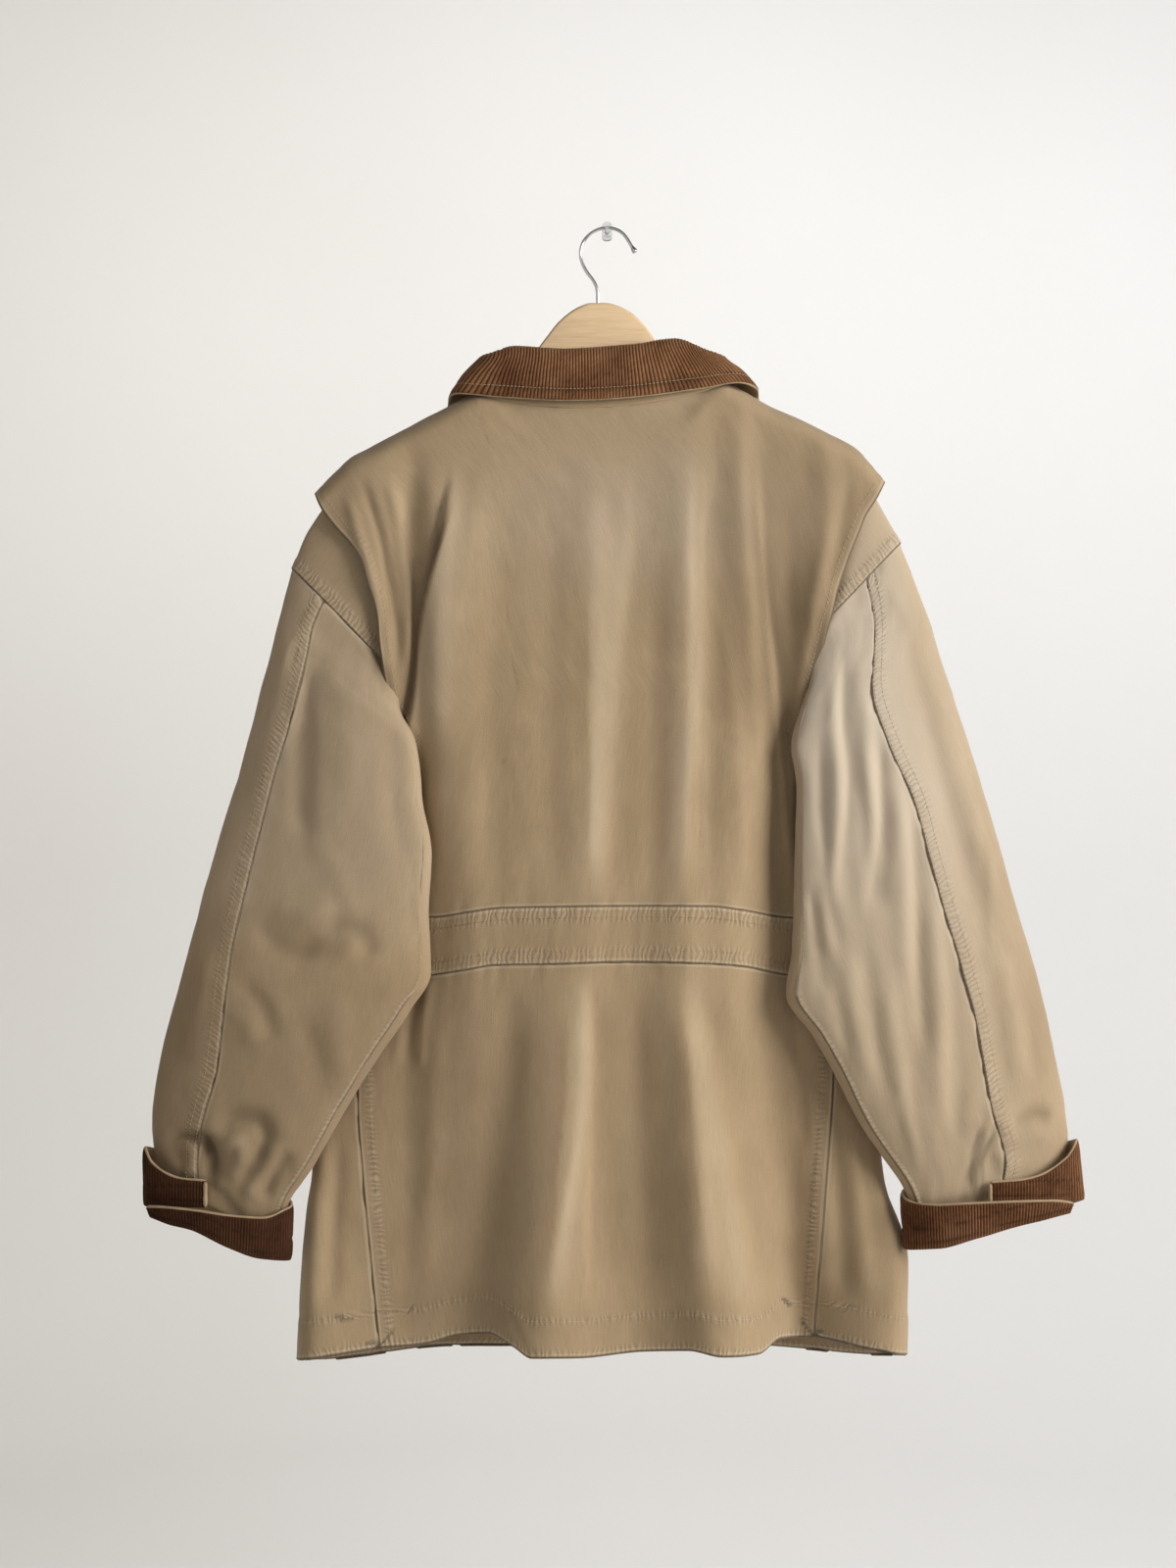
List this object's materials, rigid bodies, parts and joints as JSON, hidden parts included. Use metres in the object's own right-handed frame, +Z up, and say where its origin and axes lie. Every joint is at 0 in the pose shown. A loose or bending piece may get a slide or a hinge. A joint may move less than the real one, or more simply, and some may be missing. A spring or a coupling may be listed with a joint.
{
  "type": "chore coat on a hanger",
  "caption": "Work coat in tan twill with corduroy collar and turned-back cuffs, hung with its back out on a wooden hanger from a wall hook.",
  "frame": {"origin": "centre of the wall hook's back face, where it is fixed to the wall", "axes": "+X to the right as the coat's back is looked at, +Y into the wall, +Z up along the hanging coat"},
  "size_m": [0.784, 0.0876, 0.9639],
  "materials": {
    "twill": "faded tan cotton twill, matt",
    "corduroy": "brown ribbed corduroy, matt",
    "hanger_wood": "pale varnished wood, satin",
    "hook_metal": "bright plated wire",
    "wall_hook": "pale clear plastic",
    "button": "dark plain plastic"
  },
  "bodies": {
    "root": {"back_upper": "twill", "back_waistband": "twill", "back_lower": "twill", "front_left": "twill", "front_right": "twill", "sleeve_band_left": "twill", "sleeve_under_left": "twill", "sleeve_upper_left": "twill", "sleeve_band_right": "twill", "sleeve_under_right": "twill", "sleeve_upper_right": "twill", "cuff_shell_left": "twill", "cuff_shell_right": "twill", "collar_under": "twill", "cuff_face_left": "corduroy", "cuff_face_right": "corduroy", "collar_top": "corduroy", "hanger_board": "hanger_wood", "hanger_hook": "hook_metal", "wall_hook": "wall_hook", "button_1": "button", "button_2": "button", "button_3": "button", "button_4": "button", "button_5": "button"}
  },
  "joints": []
}
